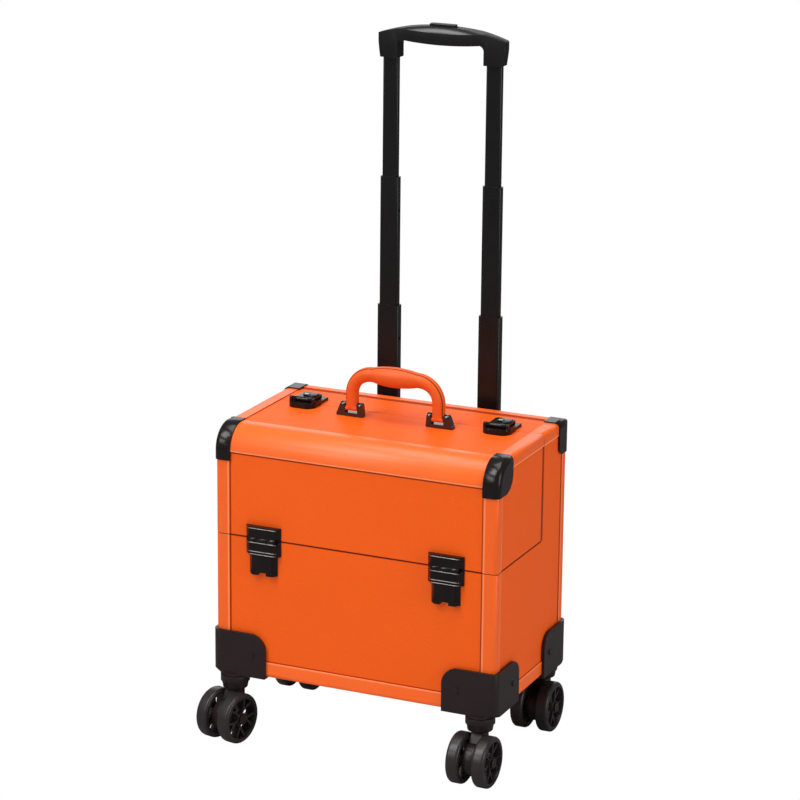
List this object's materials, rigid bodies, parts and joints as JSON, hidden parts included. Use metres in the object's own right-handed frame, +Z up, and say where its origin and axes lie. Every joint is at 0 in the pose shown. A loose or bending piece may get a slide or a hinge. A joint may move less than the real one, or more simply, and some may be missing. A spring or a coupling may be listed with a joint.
{
  "type": "rolling makeup case",
  "caption": "Orange board case on swivelling twin casters, with a forward opening lid, stepping trays, key locks, a carry handle and a telescopic trolley handle.",
  "frame": {"origin": "on the floor under the middle of the case", "axes": "+Z up, +X to the right seen from the front, +Y to the rear, where the trolley handle is"},
  "size_m": [0.4188, 0.3292, 0.9326],
  "materials": {
    "orange_board": "satin orange leather cover on board",
    "orange_profile": "satin orange painted aluminium",
    "orange_handle": "smooth orange leather cover, sewn",
    "black_plastic": "black moulded plastic",
    "black_metal": "black painted metal",
    "tube_metal": "satin black coated tube",
    "bright_steel": "bright",
    "felt": "black lining mat",
    "tray_plastic": "black moulded tray",
    "wheel_rubber": "black rolling ring on a moulded wheel"
  },
  "bodies": {
    "case": {"base_front_panel": "orange_board", "base_rear_panel": "orange_board", "base_side_panels": "orange_board", "base_bottom_panel": "orange_board", "rear_top_panel": "orange_board", "base_posts": "orange_profile", "bottom_profiles": "orange_profile", "rear_top_profiles": "orange_profile", "rear_top_corners": "black_plastic", "bottom_mat": "felt", "bracket_front_left": "black_plastic", "bracket_front_right": "black_plastic", "bracket_rear_left": "black_plastic", "bracket_rear_right": "black_plastic", "hinge_lower_leaves": "black_metal", "hinge_pins": "bright_steel", "lock_strikes": "black_metal", "arm_pivots": "bright_steel", "trolley_fixed_tubes": "tube_metal", "trolley_top_bracket": "black_plastic", "trolley_foot_bracket": "black_plastic"},
    "lid": {"lid_front_panel": "orange_board", "lid_top_panel": "orange_board", "lid_side_panels": "orange_board", "lid_front_rail": "orange_profile", "lid_posts": "orange_profile", "lid_top_profiles": "orange_profile", "lid_corners": "black_plastic", "hinge_upper_leaves": "black_metal", "tray_pivots": "bright_steel", "handle_feet": "black_plastic", "lock_cases": "black_metal"},
    "handle": {"carry_handle": "orange_handle"},
    "flap_left": {"lock_flap_left": "black_metal"},
    "flap_right": {"lock_flap_right": "black_metal"},
    "barrel_left": {"lock_barrel_left": "bright_steel"},
    "barrel_right": {"lock_barrel_right": "bright_steel"},
    "tray_upper": {"upper_tray": "tray_plastic"},
    "tray_lower": {"lower_tray": "tray_plastic"},
    "arms_front": {"front_arms": "bright_steel"},
    "arms_rear": {"rear_arms": "bright_steel"},
    "section_1": {"trolley_section_1": "tube_metal"},
    "section_2": {"trolley_section_2": "tube_metal"},
    "section_3": {"trolley_section_3": "tube_metal", "trolley_grip": "black_plastic"},
    "button": {"release_button": "black_plastic"},
    "caster_front_left_fork": {"caster_front_left": "black_plastic"},
    "wheel_front_left_a_body": {"wheel_front_left_a": "wheel_rubber"},
    "wheel_front_left_b_body": {"wheel_front_left_b": "wheel_rubber"},
    "caster_front_right_fork": {"caster_front_right": "black_plastic"},
    "wheel_front_right_a_body": {"wheel_front_right_a": "wheel_rubber"},
    "wheel_front_right_b_body": {"wheel_front_right_b": "wheel_rubber"},
    "caster_rear_left_fork": {"caster_rear_left": "black_plastic"},
    "wheel_rear_left_a_body": {"wheel_rear_left_a": "wheel_rubber"},
    "wheel_rear_left_b_body": {"wheel_rear_left_b": "wheel_rubber"},
    "caster_rear_right_fork": {"caster_rear_right": "black_plastic"},
    "wheel_rear_right_a_body": {"wheel_rear_right_a": "wheel_rubber"},
    "wheel_rear_right_b_body": {"wheel_rear_right_b": "wheel_rubber"}
  },
  "joints": [
    {"name": "lid_swing", "type": "hinge", "parent": "case", "child": "lid", "pos_m": [0, -0.1208, 0.284], "axis": [1, 0, 0], "range_deg": [0, 100]},
    {"name": "upper_tray_level", "type": "hinge", "parent": "lid", "child": "tray_upper", "pos_m": [0, -0.0508, 0.34], "axis": [1, 0, 0], "range_deg": [-100, 0]},
    {"name": "front_arms_swing", "type": "hinge", "parent": "case", "child": "arms_front", "pos_m": [0, -0.0616, 0.274], "axis": [1, 0, 0], "range_deg": [0, 100]},
    {"name": "rear_arms_swing", "type": "hinge", "parent": "case", "child": "arms_rear", "pos_m": [0, -0.0116, 0.274], "axis": [1, 0, 0], "range_deg": [0, 100]},
    {"name": "lower_tray_level", "type": "hinge", "parent": "arms_front", "child": "tray_lower", "pos_m": [0, -0.0266, 0.302], "axis": [1, 0, 0], "range_deg": [-100, 0]},
    {"name": "lock_flap_left_lift", "type": "hinge", "parent": "lid", "child": "flap_left", "pos_m": [-0.14, 0.018, 0.4393], "axis": [1, 0, 0], "range_deg": [0, 80]},
    {"name": "lock_key_left_turn", "type": "hinge", "parent": "flap_left", "child": "barrel_left", "pos_m": [-0.14, 0.032, 0.4393], "axis": [0, 0, 1], "range_deg": [0, 90]},
    {"name": "lock_flap_right_lift", "type": "hinge", "parent": "lid", "child": "flap_right", "pos_m": [0.14, 0.018, 0.4393], "axis": [1, 0, 0], "range_deg": [0, 80]},
    {"name": "lock_key_right_turn", "type": "hinge", "parent": "flap_right", "child": "barrel_right", "pos_m": [0.14, 0.032, 0.4393], "axis": [0, 0, 1], "range_deg": [0, 90]},
    {"name": "handle_fold", "type": "hinge", "parent": "lid", "child": "handle", "pos_m": [0, 0.009, 0.4425], "axis": [1, 0, 0], "range_deg": [-85, 85]},
    {"name": "trolley_slide_1", "type": "slide", "parent": "case", "child": "section_1", "axis": [0, 0, 1], "range_m": [-0.115, 0]},
    {"name": "trolley_slide_2", "type": "slide", "parent": "section_1", "child": "section_2", "axis": [0, 0, 1], "range_m": [-0.17, 0]},
    {"name": "trolley_slide_3", "type": "slide", "parent": "section_2", "child": "section_3", "axis": [0, 0, 1], "range_m": [-0.156, 0]},
    {"name": "release_button_press", "type": "slide", "parent": "section_3", "child": "button", "axis": [0, 0, -1], "range_m": [0, 0.003], "stiffness_N_per_m": 400},
    {"name": "caster_front_left_swivel", "type": "hinge", "parent": "case", "child": "caster_front_left_fork", "pos_m": [-0.177, -0.108, 0.0885], "axis": [0, 0, 1], "continuous": true},
    {"name": "wheel_front_left_a_spin", "type": "hinge", "parent": "caster_front_left_fork", "child": "wheel_front_left_a_body", "pos_m": [-0.19835, -0.12186, 0.034], "axis": [0.9781, -0.2079, 0], "continuous": true},
    {"name": "wheel_front_left_b_spin", "type": "hinge", "parent": "caster_front_left_fork", "child": "wheel_front_left_b_body", "pos_m": [-0.16314, -0.12935, 0.034], "axis": [0.9781, -0.2079, 0], "continuous": true},
    {"name": "caster_front_right_swivel", "type": "hinge", "parent": "case", "child": "caster_front_right_fork", "pos_m": [0.177, -0.108, 0.0885], "axis": [0, 0, 1], "continuous": true},
    {"name": "wheel_front_right_a_spin", "type": "hinge", "parent": "caster_front_right_fork", "child": "wheel_front_right_a_body", "pos_m": [0.15869, -0.12568, 0.034], "axis": [0.9998, -0.0175, 0], "continuous": true},
    {"name": "wheel_front_right_b_spin", "type": "hinge", "parent": "caster_front_right_fork", "child": "wheel_front_right_b_body", "pos_m": [0.19468, -0.12631, 0.034], "axis": [0.9998, -0.0175, 0], "continuous": true},
    {"name": "caster_rear_left_swivel", "type": "hinge", "parent": "case", "child": "caster_rear_left_fork", "pos_m": [-0.177, 0.108, 0.0885], "axis": [0, 0, 1], "continuous": true},
    {"name": "wheel_rear_left_a_spin", "type": "hinge", "parent": "caster_rear_left_fork", "child": "wheel_rear_left_a_body", "pos_m": [-0.195, 0.09, 0.034], "axis": [1, 0, 0], "continuous": true},
    {"name": "wheel_rear_left_b_spin", "type": "hinge", "parent": "caster_rear_left_fork", "child": "wheel_rear_left_b_body", "pos_m": [-0.159, 0.09, 0.034], "axis": [1, 0, 0], "continuous": true},
    {"name": "caster_rear_right_swivel", "type": "hinge", "parent": "case", "child": "caster_rear_right_fork", "pos_m": [0.177, 0.108, 0.0885], "axis": [0, 0, 1], "continuous": true},
    {"name": "wheel_rear_right_a_spin", "type": "hinge", "parent": "caster_rear_right_fork", "child": "wheel_rear_right_a_body", "pos_m": [0.159, 0.09, 0.034], "axis": [1, 0, 0], "continuous": true},
    {"name": "wheel_rear_right_b_spin", "type": "hinge", "parent": "caster_rear_right_fork", "child": "wheel_rear_right_b_body", "pos_m": [0.195, 0.09, 0.034], "axis": [1, 0, 0], "continuous": true}
  ],
  "couplings": [
    {"joint": "upper_tray_level", "follows": "lid_swing", "ratio": -1},
    {"joint": "front_arms_swing", "follows": "lid_swing", "ratio": 1},
    {"joint": "rear_arms_swing", "follows": "lid_swing", "ratio": 1},
    {"joint": "lower_tray_level", "follows": "lid_swing", "ratio": -1}
  ]
}
